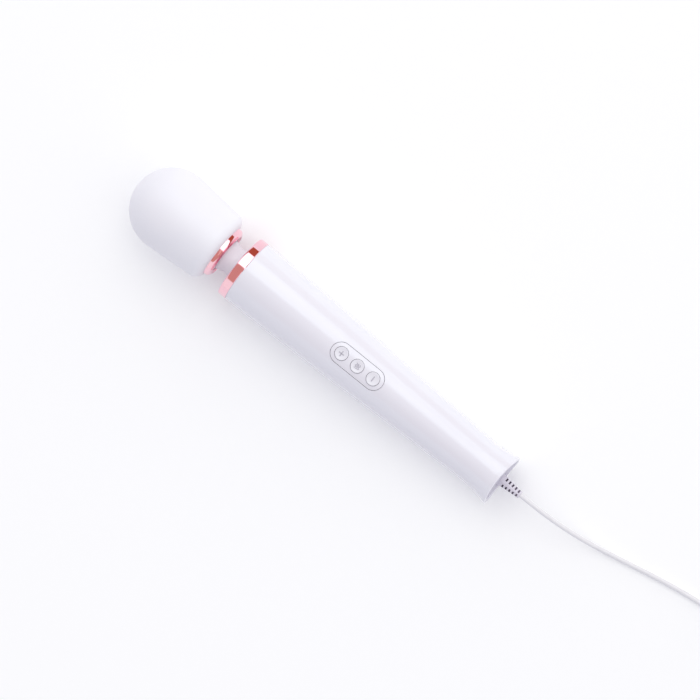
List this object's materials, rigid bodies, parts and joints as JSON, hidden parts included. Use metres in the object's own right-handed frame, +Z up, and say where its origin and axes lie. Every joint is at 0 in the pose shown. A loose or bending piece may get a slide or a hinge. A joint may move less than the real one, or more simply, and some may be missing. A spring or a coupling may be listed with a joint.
{
  "type": "handheld wand massager",
  "caption": "Corded wand massager: soft domed head on a flexible neck, glossy flared barrel handle with push keys, plug-in adapter.",
  "frame": {"origin": "on the surface the wand lies on, under the middle of the wand's length, lead and adapter not counted", "axes": "+X along the wand from head to cord end, +Z up out of the keys; the wand's own axis dips about 2 degrees towards +X because it rests on its head and its rim"},
  "size_m": [0.666, 0.1022, 0.0622],
  "materials": {
    "silicone": "matte soft touch",
    "inner_plastic": "moulded",
    "rose_gold": "polished rose gold plating",
    "barrel_white": "gloss",
    "end_grey": "satin",
    "steel": "ground",
    "brass": "turned",
    "dark_rubber": "matte",
    "board": "solder mask",
    "board_black": "moulded",
    "cord_white": "satin vinyl",
    "adapter_white": "fine spark texture"
  },
  "bodies": {
    "handle": {"body_ring": "rose_gold", "nose_plate": "inner_plastic", "nose_screws": "steel", "top_shell": "barrel_white", "bottom_shell": "barrel_white", "motor_can": "steel", "motor_mount_front": "dark_rubber", "motor_mount_rear": "dark_rubber", "motor_end_bell": "inner_plastic", "motor_bushes": "brass", "motor_magnets": "dark_rubber", "motor_brushes": "dark_rubber", "key_panel": "barrel_white", "key_membrane": "dark_rubber", "control_board": "board", "tact_switches": "board_black", "board_parts": "board_black", "motor_leads": "board_black", "power_leads": "board_black", "end_cap": "end_grey", "cord_clamp": "end_grey", "clamp_screws": "steel", "strain_relief": "end_grey", "cord_entry": "cord_white", "power_cord": "cord_white", "cord_coil": "cord_white", "cord_tie": "dark_rubber", "adapter_cord": "cord_white", "adapter_relief": "adapter_white", "adapter_case": "adapter_white", "adapter_lid": "adapter_white", "adapter_blades": "brass", "adapter_board": "board", "adapter_transformer": "board_black"},
    "neck": {"neck_sleeve": "silicone", "neck_spring": "steel"},
    "head": {"head_cover": "silicone", "head_core": "inner_plastic", "head_core_base": "inner_plastic", "head_collar": "rose_gold", "outer_races": "steel"},
    "eccentric": {"eccentric_shaft": "steel", "eccentric_weight": "steel", "weight_screw": "steel", "inner_races": "steel", "coupling_hub_front": "brass"},
    "ball_sets": {"bearing_balls": "steel"},
    "rotor": {"motor_shaft": "steel", "rotor_core": "steel", "rotor_windings": "brass", "commutator": "brass", "coupling_hub_rear": "brass", "drive_bellows": "dark_rubber"},
    "plus_key": {"key_plus": "barrel_white"},
    "pulse_key": {"key_pulse": "barrel_white"},
    "minus_key": {"key_minus": "barrel_white"}
  },
  "joints": [
    {"name": "neck_pitch", "type": "hinge", "parent": "handle", "child": "neck", "pos_m": [-0.08973, 0, 0.02902], "axis": [0, 1, 0], "range_deg": [-10, 10], "stiffness_Nm_per_rad": 6, "deforming": ["neck_sleeve", "neck_spring", "drive_bellows"]},
    {"name": "neck_yaw", "type": "hinge", "parent": "neck", "child": "head", "pos_m": [-0.08973, 0, 0.02902], "axis": [0.0345, 0, 0.9994], "range_deg": [-10, 10], "stiffness_Nm_per_rad": 6, "deforming": ["neck_sleeve", "neck_spring", "drive_bellows"]},
    {"name": "motor_spin", "type": "hinge", "parent": "handle", "child": "rotor", "pos_m": [-0.058, 0, 0.02793], "axis": [0.9994, 0, -0.0345], "continuous": true},
    {"name": "eccentric_spin", "type": "hinge", "parent": "head", "child": "eccentric", "pos_m": [-0.13795, 0, 0.03069], "axis": [0.9994, 0, -0.0345], "continuous": true},
    {"name": "ball_orbit", "type": "hinge", "parent": "head", "child": "ball_sets", "pos_m": [-0.13795, 0, 0.03069], "axis": [0.9994, 0, -0.0345], "continuous": true},
    {"name": "plus_press", "type": "slide", "parent": "handle", "child": "plus_key", "axis": [-0.0345, 0, -0.9994], "range_m": [0, 0.0006], "stiffness_N_per_m": 900},
    {"name": "pulse_press", "type": "slide", "parent": "handle", "child": "pulse_key", "axis": [-0.0345, 0, -0.9994], "range_m": [0, 0.0006], "stiffness_N_per_m": 900},
    {"name": "minus_press", "type": "slide", "parent": "handle", "child": "minus_key", "axis": [-0.0345, 0, -0.9994], "range_m": [0, 0.0006], "stiffness_N_per_m": 900}
  ],
  "couplings": [
    {"joint": "eccentric_spin", "follows": "motor_spin", "ratio": 1},
    {"joint": "ball_orbit", "follows": "motor_spin", "ratio": 0.35981}
  ]
}
